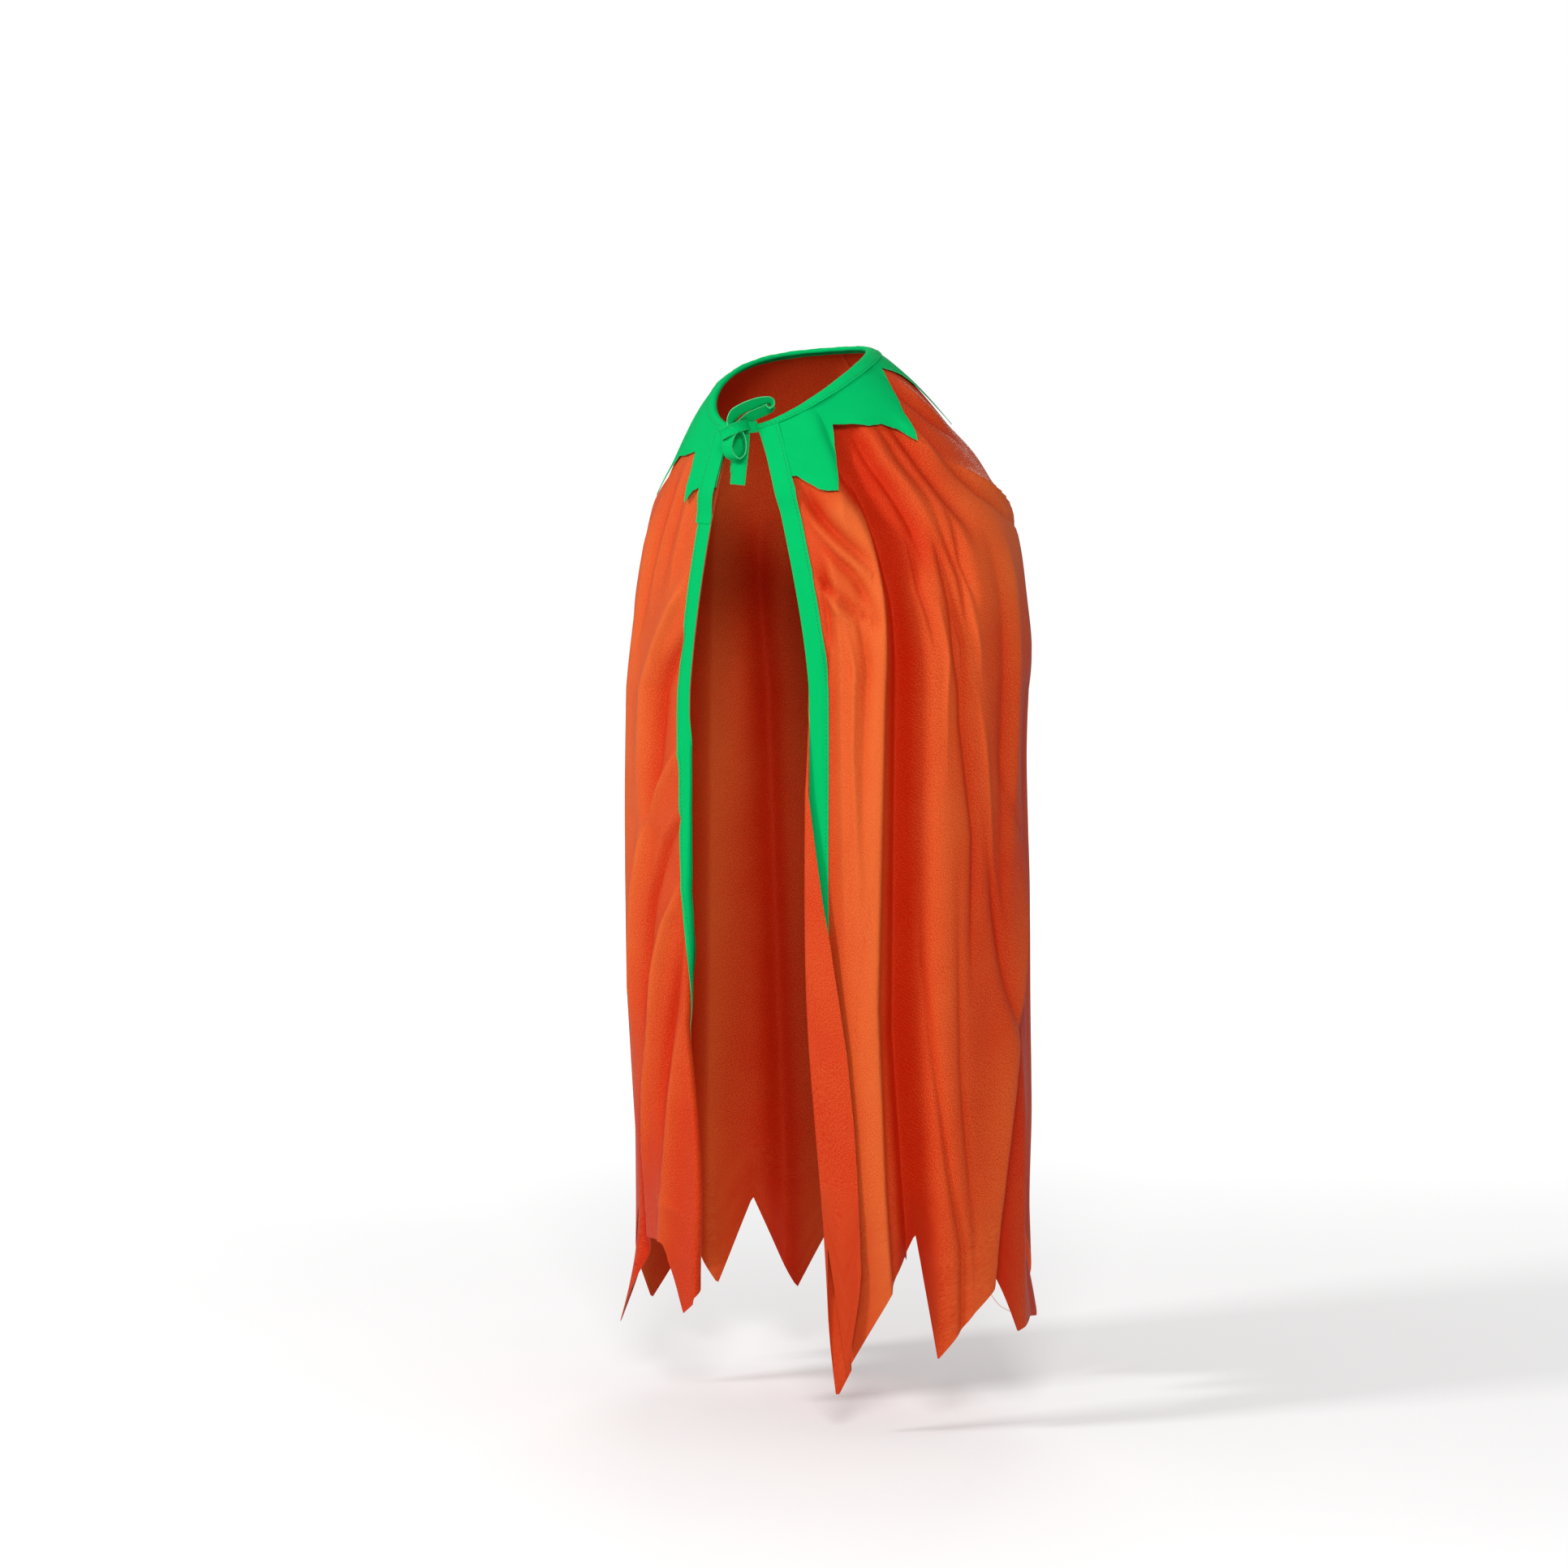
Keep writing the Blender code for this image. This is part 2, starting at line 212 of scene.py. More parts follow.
# Folds: the line as (angle, level), the height in mm (a valley is negative), how far it spreads in mm towards
# larger and smaller angles, and for a fold that leans over, how far its crest moves towards smaller angles
FOLDS = [
    # the wearer's left front: the knife fold under the first notch, its valley and the broad swell behind it
    ([(140, 0.42), (139.5, 0.56), (139.5, 0.74), (141, 0.97), (142, 1.12), (143, 1.26), (141, 1.41),
      (139, 1.5)], 15, 26, 2.5, 4),
    ([(135, 0.10), (139, 0.22), (140.5, 0.32), (140, 0.44), (137.5, 0.56), (136.5, 0.74), (137.5, 0.97),
      (138, 1.12), (138.5, 1.28), (134, 1.45)], -16, 4, 27),
    ([(144, 0.42), (146, 0.50), (146, 0.56)], 5, 11, 5),
    ([(127, 0.7), (125, 0.95), (124, 1.15), (124, 1.35), (121, 1.5)], 8, 22, 26),
    ([(159, 0.36), (153, 0.48), (147, 0.57), (141, 0.66)], -12, 4, 8),
    ([(158, 0.45), (154, 0.54), (149, 0.60), (145, 0.64)], 6, 4, 6),
    ([(157, 0.50), (151, 0.60), (146, 0.68), (143, 0.78)], -9, 4, 6),
    ([(159, 0.62), (154, 0.70), (148, 0.77), (143, 0.80)], -8, 3, 6),
    ([(158, 0.68), (153, 0.75), (148, 0.82)], 5, 3, 5),
    ([(156.5, 0.82), (154.8, 0.90), (156, 1.0), (155.5, 1.1)], 4, 2.5, 3),
    ([(150, 0.84), (148.5, 0.94), (149, 1.05), (147.5, 1.16)], 4.5, 3, 3),
    ([(147, 0.80), (146, 0.92), (146.5, 1.06)], -4, 2.5, 3),
    ([(122, 0.80), (121, 0.90), (122, 1.02)], 3.5, 2.5, 3),
    ([(117, 0.78), (115.5, 0.88), (116, 0.96)], -3.5, 2, 3),
    ([(111, 0.80), (110, 0.90)], 3, 2, 3),
    ([(155.5, 0.62), (155.5, 0.78), (156, 0.95), (156, 1.1)], -6, 4, 4),
    ([(152, 0.62), (152, 0.78), (152, 1.0), (151, 1.2)], 5, 5, 7),
    ([(146, 0.72), (145, 0.85), (145, 1.0)], -2.5, 4, 4),
    ([(126, 0.20), (127, 0.33), (125, 0.44), (123, 0.54), (123, 0.62)], -7, 5, 8),
    ([(120, 0.20), (121, 0.34), (118, 0.46), (116, 0.56)], 4.5, 6, 7),
    ([(114, 0.24), (115, 0.36), (112, 0.48)], -4, 4, 6),
    ([(108, 0.24), (108, 0.39), (106, 0.48), (102, 0.58)], -6.5, 5, 8),
    ([(101, 0.26), (95, 0.40), (84, 0.48), (68, 0.56)], 6, 7, 7),
    ([(96, 0.24), (95, 0.40), (88, 0.51), (78, 0.58), (66, 0.62)], -6.5, 4, 8),
    ([(85, 0.10), (86, 0.19), (80, 0.30), (66, 0.40)], -5, 5, 9),
    ([(78, 0.14), (78, 0.22), (72, 0.32)], 4, 7, 7),
    ([(117, 0.62), (118, 0.74), (119, 0.90), (117, 1.03), (112, 1.12), (113, 1.20)], -6, 3, 7),
    ([(126, 0.60), (127, 0.72), (125, 0.86)], -4, 2.5, 4),
    ([(113, 0.58), (112, 0.70), (113, 0.80)], -4, 2.5, 3),
    ([(108, 0.56), (110, 0.66), (109, 0.76)], -4, 2.5, 4),
    ([(130, 1.22), (126, 1.30), (121, 1.40), (117, 1.46)], -3.5, 2.5, 4),
    ([(118, 1.20), (117, 1.32), (113, 1.44)], -3, 2.5, 4),
    ([(113, 0.98), (108, 1.05), (104, 1.14), (98, 1.20)], 3, 3, 3),
    ([(109, 0.74), (110, 0.95), (106, 1.1), (104, 1.2)], 3.5, 8, 9),
    ([(96, 0.62), (97, 0.80), (98, 0.98), (99, 1.12), (98, 1.2)], -3.5, 7, 10),
    ([(88, 0.66), (90, 0.87), (91, 1.01), (93, 1.12)], 5, 10, 10),
    ([(107, 1.10), (103, 1.18), (97, 1.25), (90, 1.30)], -7, 6, 9),
    ([(83, 1.17), (90, 1.26), (96, 1.32), (100, 1.38), (104, 1.44), (107, 1.5)], 9, 22, 3, 2.5),
    ([(78, 1.17), (86, 1.26), (92, 1.32), (95.5, 1.38), (99.5, 1.44), (102.5, 1.5)], -12, 3.5, 14),
    ([(80, 1.35), (84, 1.42), (88, 1.5)], 5, 12, 12),
    ([(100, 1.06), (90, 1.11), (78, 1.13)], -3, 5, 5),
    # the wearer's right front: soft folds that fan down from the green strip
    ([(-158, 0.66), (-148, 0.84), (-141, 1.00), (-137, 1.08)], 9, 14, 6),
    ([(-160, 0.80), (-151, 0.92), (-146, 1.02), (-141, 1.12)], -10, 6, 12),
    ([(-158, 1.05), (-149, 1.08), (-141, 1.12), (-135, 1.18), (-131, 1.26)], 9, 8, 6),
    ([(-160, 1.10), (-150, 1.13), (-142, 1.18), (-137, 1.26)], -10, 4, 8),
    ([(-160, 1.16), (-152, 1.20), (-148, 1.24), (-144, 1.30), (-140, 1.36), (-137, 1.42)], 12, 9, 7),
    ([(-158, 1.21), (-155, 1.24), (-151, 1.29), (-147, 1.35)], -9, 4, 8),
    ([(-160, 1.26), (-157, 1.30), (-154, 1.36), (-151, 1.43), (-149, 1.48)], 8, 7, 8),
    ([(-143, 1.28), (-138, 1.34), (-134, 1.40), (-132, 1.48)], -9, 6, 10),
    ([(-128, 0.5), (-128, 0.9), (-126, 1.3), (-126, 1.5)], 5, 14, 12),
    ([(-152, 0.30), (-151, 0.46), (-149, 0.66)], 2.6, 4, 4),
    ([(-146, 0.30), (-145, 0.46), (-144, 0.66)], -2.6, 4, 4),
    ([(-141, 0.28), (-140, 0.46), (-138, 0.74)], 2.4, 4, 4),
    ([(-134, 0.34), (-134, 0.55), (-132, 0.84)], -3, 5, 5),
    ([(-126, 0.34), (-125, 0.55), (-123, 0.80)], 3, 6, 6),
    # the back
    ([(-112, 0.6), (-114, 1.0), (-111, 1.5)], -10, 12, 14),
    ([(-99, 0.42), (-97, 1.0), (-94, 1.5)], 12, 13, 16, 1),
    ([(-82, 0.6), (-79, 1.0), (-74, 1.5)], -12, 10, 15),
    ([(-64, 0.36), (-61, 0.9), (-63, 1.5)], 11, 18, 12),
    ([(-48, 0.6), (-43, 1.0), (-37, 1.5)], -11, 12, 16),
    ([(-30, 0.38), (-25, 0.8), (-22, 1.2), (-24, 1.5)], 9, 15, 19),
    ([(-12, 0.30), (-14, 0.7), (-12, 1.1)], -6, 7, 10),
    ([(-3, 0.5), (-4, 1.0), (-1, 1.5)], -9, 12, 18),
    ([(12, 0.34), (16, 0.8), (13, 1.5)], 12, 13, 18, 1),
    ([(28, 0.30), (27, 0.6), (31, 0.9)], -5, 7, 8),
    ([(35, 0.6), (32, 1.0), (35, 1.5)], -11, 15, 13),
    ([(48, 0.36), (51, 0.9), (54, 1.5)], 9, 12, 15),
]
# A fold fades in and out over this much of a level, unless it runs on through the hem
FOLD_FADE = 0.09
REACHES_HEM = 1.45
BELOW_HEM = 9.0
FOLD_ROUND = 1.5

# Faint creases across the cloth, from packing: (first angle, its level), (last angle, its level), mm high
CREASES = [
    ((-163, 1.452), (-142, 1.430), 1.6),
    ((-162, 1.478), (-150, 1.494), 1.3),
    ((100, 1.474), (142, 1.472), 0.8),
    ((94, 1.325), (136, 1.328), 0.6),
    ((-50, 1.20), (40, 1.21), 0.7),
    ((-70, 0.92), (20, 0.94), 0.5),
]
CREASE_SPREAD = 0.004
CREASE_END = 1 / 8

# Broad swellings: angle, level, height in mm, spread round in mm, spread in level. The first is the wearer's
# left elbow.
SWELLINGS = [
    (74, 0.58, 13, 62, 0.16),
    (100, 0.74, 5, 40, 0.14),
    (66, 1.05, -11, 42, 0.10),
    (66, 1.25, -7, 40, 0.14),
    (68, 1.44, -9, 36, 0.06),
    (-128, 1.15, 5, 45, 0.25),
    (-118, 1.46, -9, 34, 0.12),
]

# The leaf collar's outline as (angle, level)
LEAVES = [
    (-167, 0.345), (-158, 0.345), (-154.5, 0.365), (-152, 0.415), (-150.5, 0.37), (-148, 0.30),
    (-145, 0.225), (-141, 0.245), (-136, 0.265), (-130, 0.28), (-126.5, 0.33), (-124, 0.43), (-121, 0.31),
    (-116, 0.22), (-108, 0.15), (-98, 0.10), (-92, 0.14), (-84, 0.20), (-76, 0.28), (-71, 0.35), (-67, 0.25),
    (-60, 0.16), (-52, 0.09), (-44, 0.15), (-35, 0.21), (-27, 0.35), (-22, 0.24), (-15, 0.15), (-7, 0.09),
    (1, 0.15), (10, 0.21), (17, 0.34), (22, 0.24), (28, 0.15), (35, 0.09), (42, 0.13), (48, 0.18), (54, 0.24),
    (58, 0.33), (62, 0.23), (69, 0.14), (78, 0.075), (90, 0.155), (98, 0.235), (103, 0.325), (107, 0.268),
    (112, 0.232), (118, 0.222), (124, 0.19), (132, 0.16), (137, 0.235), (140.5, 0.31), (143.5, 0.405),
    (147, 0.398), (150, 0.385), (153.5, 0.355), (157, 0.322), (167, 0.315),
]
LEAF_LIFT = 1.8 * MM
COLLAR_RIPPLE = 0.5 * MM
# The level of its top edge, and the angles of its ends and of where they begin to follow the turned edges
COLLAR_TOP = 0.006
COLLAR_END = 167
COLLAR_EASE_FROM = 155

# Colours in linear light
ORANGE = (0.560, 0.010, 0.0004)
# the paler orange: grain specks and the painted highlight on fold crests; ORANGE is also the painted shade in
# the valleys
ORANGE_PALE_AND_HIGHLIGHT = (0.720, 0.124, 0.026)
ORANGE_EDGE = (0.900, 0.240, 0.090)
GREEN = (0.0005, 0.440, 0.110)
GREEN_LIGHT = (0.002, 0.520, 0.140)
GREEN_EDGE = (0.120, 0.740, 0.330)
THREAD = (0.001, 0.250, 0.060)
ORANGE_THREAD = (0.620, 0.130, 0.060)


# --- the drape ---

def rings(level):
    """The oval round the wearer at a level: half its width, half its depth and its middle's Y."""
    out = np.sin(np.clip(level, 0, 1) * np.pi / 2)
    half_x = NECK_HALF_WIDTH + (BODY_HALF_WIDTH - NECK_HALF_WIDTH) * out
    half_y = NECK_HALF_DEPTH + (BODY_HALF_DEPTH - NECK_HALF_DEPTH) * out
    return half_x, half_y, NECK_MIDDLE_Y + (BODY_MIDDLE_Y - NECK_MIDDLE_Y) * out


def pace(psi, level):
    """Metres of cloth for each degree round the wearer."""
    a = np.radians(psi)
    half_x, half_y, _ = rings(level)
    return np.hypot(half_x * np.cos(a), half_y * np.sin(a)) * np.pi / 180


def folds(psi, level):
    """(how far the folds stand out, how far they lean towards smaller angles), both in metres."""
    shape = np.broadcast(psi, level).shape
    total, leaning = np.zeros(shape), np.zeros(shape)
    for line, height, wide_up, wide_down, *lean in FOLDS:
        angles, levels = np.array(line, float).T
        centre = np.interp(level, levels, angles)
        away = (psi - centre) * pace(centre, level) / MM
        wide = np.where(away > 0, wide_up, wide_down)
        last = levels[-1] if levels[-1] < REACHES_HEM else BELOW_HEM
        begins = ramp(level, levels[0] - FOLD_FADE, levels[0] + FOLD_FADE)
        ends = ramp(level, last + FOLD_FADE, last - FOLD_FADE)
        fade = eased(begins) * eased(ends)
        bump = fade * np.exp(-((np.abs(away / wide) ** 2 + 0.02) ** (FOLD_ROUND / 2)))
        total += height * bump
        leaning += sum(lean) * bump
    for angle, at, height, wide, deep in SWELLINGS:
        away = (psi - angle) * pace(angle, level) / MM
        total += height * np.exp(-(away / wide) ** 2 - ((level - at) / deep) ** 2)
    for (first, high), (last, low), height in CREASES:
        share = (psi - first) / (last - first)
        inside = ramp(share, 0, CREASE_END) * ramp(share, 1, 1 - CREASE_END)
        total += height * inside * np.exp(-np.abs(level - high - (low - high) * share) / CREASE_SPREAD)
    quiet = calm(psi, level) * MM
    return total * quiet, leaning * quiet


def painted_light_share(psi, level):
    """How much painted highlight the cloth gets, from 0, painted shade in a deep valley, to 1 on a high crest.

    The upper part of the wearer's right front gets a painted highlight, and the cloth near the hem gets
    painted shade.
    """
    flat_cloth, whole_height = 0.42, 22 * MM
    # painted highlight where the side lamp falls on the wearer's right front
    painted_side_light = 0.28 * ramp(psi, -115, -130) * ramp(level, 1.25, 0.75)
    # painted shade, darker towards the hem
    painted_hem_shade = 0.16 * ramp(level, 1.1, 1.4)
    return np.clip(flat_cloth + painted_side_light - painted_hem_shade + folds(psi, level)[0] / whole_height, 0, 1)


def calm(psi, level):
    """The strips along the front edges hold the cloth straight, so folds fade out there."""
    by_edge = eased(ramp(np.abs(psi), EDGE_CALM_FROM, FRONT_EDGE))
    lower = ramp(level, 1.15, 1.35)
    return 1 - by_edge * (1 - 0.5 * lower)


def wrinkles(psi, level):
    """Small irregular creases, longer down the cloth than across it."""
    draws = np.random.RandomState(7)
    total = np.zeros(np.broadcast(psi, level).shape)
    for _ in range(22):
        across, down = draws.uniform(0.06, 0.42), draws.uniform(-9, 9)
        start, size = draws.uniform(0, 2 * np.pi), draws.uniform(0.25, 1.0)
        sway = 1.3 * np.sin(0.09 * psi + 4 * level)
        total += size * 0.32 * np.sin(across * psi + down * level + start + sway)
    return total * MM * ramp(level, 0.15, 0.55) * calm(psi, level)


def outward(psi, level):
    """The level unit vector away from the wearer."""
    a = np.radians(psi)
    half_x, half_y, _ = rings(level)
    x, y = np.sin(a) * half_y, np.cos(a) * half_x
    return unit(np.stack([x, y, np.zeros_like(x)], -1))


def bare_drape(psi, level):
    """The middle of the orange cloth without folds or wrinkles."""
    psi, level = np.broadcast_arrays(np.asarray(psi, float), np.asarray(level, float))
    a = np.radians(psi)
    half_x, half_y, middle = rings(level)
    across = NECK_HALF_DEPTH * np.cos(a)
    neck_z = NECK_SIDE_Z + NECK_TILT * across - NECK_SAG * across**2
    bend = np.clip(level, 0, 1) * np.pi / 2
    z = neck_z + (SHOULDER_Z - neck_z) * (1 - np.cos(bend)) ** SHOULDER_ROUND - np.clip(level - 1, 0, None)
    return np.stack([half_x * np.sin(a), middle + half_y * np.cos(a), z], -1)


def normal_of(surface, psi, level):
    """The outward unit normal of surface(psi, level)."""
    low = np.maximum(level, NEAR_NECK)
    turn, drop = 0.15, 0.0015
    round_way = surface(psi + turn, low) - surface(psi - turn, low)
    down_way = surface(psi, low + drop) - surface(psi, low - drop)
    return unit(np.cross(round_way, down_way))


def bare_normal(psi, level):
    return normal_of(bare_drape, psi, level)


def hang(psi, level):
    """The orange cloth before its front edges are turned."""
    psi, level = np.broadcast_arrays(np.asarray(psi, float), np.asarray(level, float))
    height, lean = folds(psi, level)
    height = height + wrinkles(psi, level)
    turn = 0.2
    around = unit(bare_drape(psi - turn, level) - bare_drape(psi + turn, level))
    return bare_drape(psi, level) + bare_normal(psi, level) * height[..., None] + around * lean[..., None]


def front_edge(side, apart, level):
    """The cloth this far from a front's cut edge, with the edge turned over, and its outward normal."""
    sign = SIDES[side]
    apart, level = np.broadcast_arrays(np.asarray(apart, float), np.asarray(level, float))
    line, past = TURN_LINE[side](level), straight(TURNED[side], level) * MM
    psi = sign * (line - np.clip(apart - past, 0, None) / pace(line, level))
    flat, flat_normal = hang(psi, level), normal_of(hang, psi, level)
    start = hang(sign * line, level)
    turn = 0.4
    along = unit(hang(sign * (line + turn), level) - start)
    normal = normal_of(hang, sign * line, level)
    way = TURN_OUTWARDS[side] * normal
    radius = np.clip(past / CLOTH_PER_RADIUS, LEAST_TURN_RADIUS, TURN_RADIUS[side])
    run = np.clip(past - apart, 0, None)
    bend = np.minimum(run / radius, TURN_ANGLE[side])
    rest = np.clip(run - radius * TURN_ANGLE[side], 0, None)
    move = along * (radius * np.sin(bend) + rest * np.cos(bend))[..., None]
    move = move + way * (radius * (1 - np.cos(bend)) + rest * np.sin(bend))[..., None]
    turned_normal = normal * np.cos(bend)[..., None] - along * (TURN_OUTWARDS[side] * np.sin(bend))[..., None]
    is_turned = (run > 0)[..., None]
    return np.where(is_turned, start + move, flat), np.where(is_turned, turned_normal, flat_normal)


# --- meshes ---

def read(items, field):
    values = np.zeros(len(items), int)
    items.foreach_get(field, values)
    return values


def soften(obj):
    """Smooth shading, sharp where the cloth's face meets its cut rim."""
    mesh = obj.data
    mesh.polygons.foreach_set("use_smooth", [True] * len(mesh.polygons))
    loops = read(mesh.loops, "edge_index")
    face_slot = np.repeat(read(mesh.polygons, "material_index"), read(mesh.polygons, "loop_total"))
    low = np.full(len(mesh.edges), np.iinfo(int).max)
    high = np.full(len(mesh.edges), -1)
    np.minimum.at(low, loops, face_slot)
    np.maximum.at(high, loops, face_slot)
    sharp = mesh.attributes.get("sharp_edge") or mesh.attributes.new("sharp_edge", "BOOLEAN", "EDGE")
    sharp.data.foreach_set("value", low != high)


def add_object(name, data):
    obj = bpy.data.objects.new(name, data)
    bpy.context.scene.collection.objects.link(obj)
    return obj


def apply_modifiers(obj):
    graph = bpy.context.evaluated_depsgraph_get()
    mesh = bpy.data.meshes.new_from_object(obj.evaluated_get(graph))
    obj.modifiers.clear()
    obj.data = mesh


def sheet_object(name, grid, thickness, materials, crest=None):
    """A closed thin shell on a grid of points, rows down the cloth. Its UVs are metres of cloth, and a second
    UV map can carry the share of painted highlight.
    """
    rows, columns = grid.shape[:2]
    across, down = lengths(grid, 1), lengths(grid, 0)
    corner = np.arange(rows * columns).reshape(rows, columns)
    quads = np.stack([corner[:-1, :-1], corner[1:, :-1], corner[1:, 1:], corner[:-1, 1:]], -1).reshape(-1, 4)
    mesh = bpy.data.meshes.new(name)
    mesh.from_pydata(grid.reshape(-1, 3).tolist(), [], quads.tolist())
    uv = mesh.uv_layers.new(name="cloth")
    flat = np.stack([across.ravel(), down.ravel()], -1)
    uv.data.foreach_set("uv", flat[quads.ravel()].ravel())
    if crest is not None:
        pair = np.stack([crest.ravel(), np.zeros(crest.size)], -1)
        mesh.uv_layers.new(name="crest").data.foreach_set("uv", pair[quads.ravel()].ravel())
    obj = add_object(name, mesh)
    for material in materials:
        mesh.materials.append(material)
    shell = obj.modifiers.new("thickness", "SOLIDIFY")
    shell.thickness = thickness
    shell.offset = 0.0
    shell.use_even_offset = False
    shell.material_offset_rim = len(materials) - 1
    apply_modifiers(obj)
    soften(obj)
    return obj


def mesh_object(name, points, faces, material):
    mesh = bpy.data.meshes.new(name)
    mesh.from_pydata(np.asarray(points).tolist(), [], faces)
    mesh.materials.append(material)
    mesh.polygons.foreach_set("use_smooth", [True] * len(mesh.polygons))
    return add_object(name, mesh)


def tube_rings(line, radius, sides=6):
    """Rings of points round a line, narrower at both ends, and the faces that close them."""
    line = np.asarray(line, float)
    ahead = unit(np.gradient(line, axis=0))
    aside = [0.31, 0.52, 0.79]
    other = unit(np.cross(ahead, aside))
    third = np.cross(ahead, other)
    turn = np.arange(sides) * 2 * np.pi / sides
    size = np.full(len(line), radius)
    end_share = 0.55
    size[[0, -1]] *= end_share
    ring = other[:, None] * np.cos(turn)[None, :, None] + third[:, None] * np.sin(turn)[None, :, None]
    points = (line[:, None] + ring * size[:, None, None]).reshape(-1, 3)
    faces = []
    for k in range(len(line) - 1):
        for n in range(sides):
            m = (n + 1) % sides
            faces.append((k * sides + n, k * sides + m, (k + 1) * sides + m, (k + 1) * sides + n))
    faces.append(tuple(range(sides - 1, -1, -1)))
    faces.append(tuple((len(line) - 1) * sides + n for n in range(sides)))
    return points, faces


STITCH, STITCH_GAP = 2.6 * MM, 0.9 * MM
STITCH_RISE = np.array([-0.9, 0.55, 0.8, 0.55, -0.9])


def stitches_object(name, line, normals, radius=0.26 * MM):
    """A row of short stitches that dive into the cloth at both ends."""
    along = lengths(line)
    points, faces, start = [], [], 0.0
    while start + STITCH < along[-1]:
        at = start + STITCH * np.linspace(0, 1, len(STITCH_RISE))
        rise = read_along(at, along, normals) * (radius * STITCH_RISE)[:, None]
        ring_points, ring_faces = tube_rings(read_along(at, along, line) + rise, radius)
        faces += [[v + len(points) for v in face] for face in ring_faces]
        points += ring_points.tolist()
        start += STITCH + STITCH_GAP
    return mesh_object(name, points, faces, GREEN_THREAD)


def smooth_line(points, count, extra=None):
    """A curve through a few given points, evenly spaced, and extra's values along it."""
    points = np.asarray(points, float)
    chords = lengths(points)
    fine = np.linspace(0, chords[-1], 400)

    def through(values):
        columns = [curve_through(list(zip(chords, values[:, k])))(fine) for k in range(values.shape[1])]
        return np.stack(columns, -1)

    dense = through(points)
    along = lengths(dense)
    even = np.linspace(0, along[-1], count)
    line = read_along(even, along, dense)
    if extra is None:
        return line
    return line, read_along(even, along, through(np.asarray(extra, float)))


# --- materials ---

class Nodes:
    """A short way to add and link shader nodes."""

    def __init__(self, name):
        self.material = bpy.data.materials.new(name)
        self.material.use_nodes = True
        self.tree = self.material.node_tree
        self.shader = self.tree.nodes["Principled BSDF"]

    def fill(self, node, values):
        """Gives each named input of a node its value, or links it to another node's output."""
        for key, value in values.items():
            if isinstance(value, bpy.types.NodeSocket):
                self.tree.links.new(value, node.inputs[key])
            else:
                node.inputs[key].default_value = value

    def add(self, kind, values=None, **settings):
        node = self.tree.nodes.new("ShaderNode" + kind)
        for key, value in settings.items():
            setattr(node, key, value)
        self.fill(node, values or {})
        return node

    def noise(self, vector, scale, detail=2.0, roughness=0.5):
        values = {"Vector": vector, "Scale": scale, "Detail": detail, "Roughness": roughness}
        return self.add("TexNoise", values).outputs["Fac"]

    def math(self, operation, a, b):
        return self.add("Math", {0: a, 1: b}, operation=operation).outputs[0]

    def remap(self, value, low, high):
        """A value from 0 to 1, stretched to run from low to high."""
        values = {"Value": value, "To Min": low, "To Max": high}
        return self.add("MapRange", values).outputs["Result"]

    def mix(self, share, a, b):
        """Between two colours: the Mix node's inputs 6 and 7 and its output 2 are the ones for colours."""
        return self.add("Mix", {"Factor": share, 6: (*a, 1), 7: (*b, 1)}, data_type="RGBA").outputs[2]


def cloth_material(name, base, light, weave_scale, roughness, grain, shine, tint, rib=0.0, crest=0.0):
    """Woven cloth: crossed threads, speckled grain, slow colour changes, and painted highlights on fold crests
    with painted shade in the valleys.
    """
    made = Nodes(name)
    uv = made.add("UVMap", uv_map="cloth").outputs["UV"]
    waves = []
    for direction in ("X", "Y"):
        values = {"Vector": uv, "Scale": weave_scale, "Distortion": 0.7, "Detail": 1.0}
        wave = made.add("TexWave", values, wave_type="BANDS", bands_direction=direction)
        waves.append(wave.outputs["Fac"])
    weave = made.math("MULTIPLY", waves[0], waves[1])
    speckle = made.noise(uv, 1000, 3.0, 0.75)
    slow = made.noise(uv, 14, 3.0, 0.6)
    height = made.math("ADD", made.math("MULTIPLY", weave, 0.6), made.math("MULTIPLY", speckle, 0.8))
    if rib:
        values = {"Vector": uv, "Scale": 190.0, "Distortion": 0.5, "Detail": 1.0, "Detail Scale": 0.4}
        ribs = made.add("TexWave", values, wave_type="BANDS", bands_direction="DIAGONAL")
        height = made.math("ADD", height, made.math("MULTIPLY", ribs.outputs["Fac"], rib))
    share = made.math("ADD", made.remap(speckle, -2 * grain, 2 * grain), made.remap(slow, 0.25, 0.65))
    # painted highlight on fold crests and painted shade in the valleys, read from the second UV map
    if crest:
        painted_crest_map = made.add("UVMap", uv_map="crest").outputs["UV"]
        painted_crest_level = made.add("SeparateXYZ", {"Vector": painted_crest_map}).outputs["X"]
        share = made.math("ADD", share, made.math("MULTIPLY", made.math("SUBTRACT", painted_crest_level, 0.5), crest))
    bump = made.add("Bump", {"Height": height, "Strength": 0.45, "Distance": 0.0003})
    made.fill(made.shader, {
        "Base Color": made.mix(share, base, light),
        "Roughness": made.remap(speckle, roughness - 0.07, roughness + 0.09),
        "Normal": bump.outputs["Normal"],
        "Specular IOR Level": shine,
        "Specular Tint": (*tint, 1),
    })
    return made.material


def fibre_material(name, noise, shares, base, light, roughness):
    """Fine fibres in two colours: noise is (scale, detail, roughness), and the others are ranges over it."""
    made = Nodes(name)
    fibres = made.noise(made.add("TexCoord").outputs["Object"], *noise)
    colour = made.mix(made.remap(fibres, *shares), base, light)
    made.fill(made.shader, {"Base Color": colour, "Roughness": made.remap(fibres, *roughness)})
    return made.material


def edge_material(name, base, light):
    """A raw cut edge: pale loose fibre ends."""
    return fibre_material(name, (900, 3.0, 0.7), (-0.3, 1.2), base, light, (0.75, 0.95))


def thread_material(name, colour):
    """Twisted sewing thread."""
    paler = tuple(min(1.0, c * 1.8 + 0.02) for c in colour)
    return fibre_material(name, (2500, 2.0, 0.5), (0.0, 0.5), colour, paler, (0.5, 0.7))


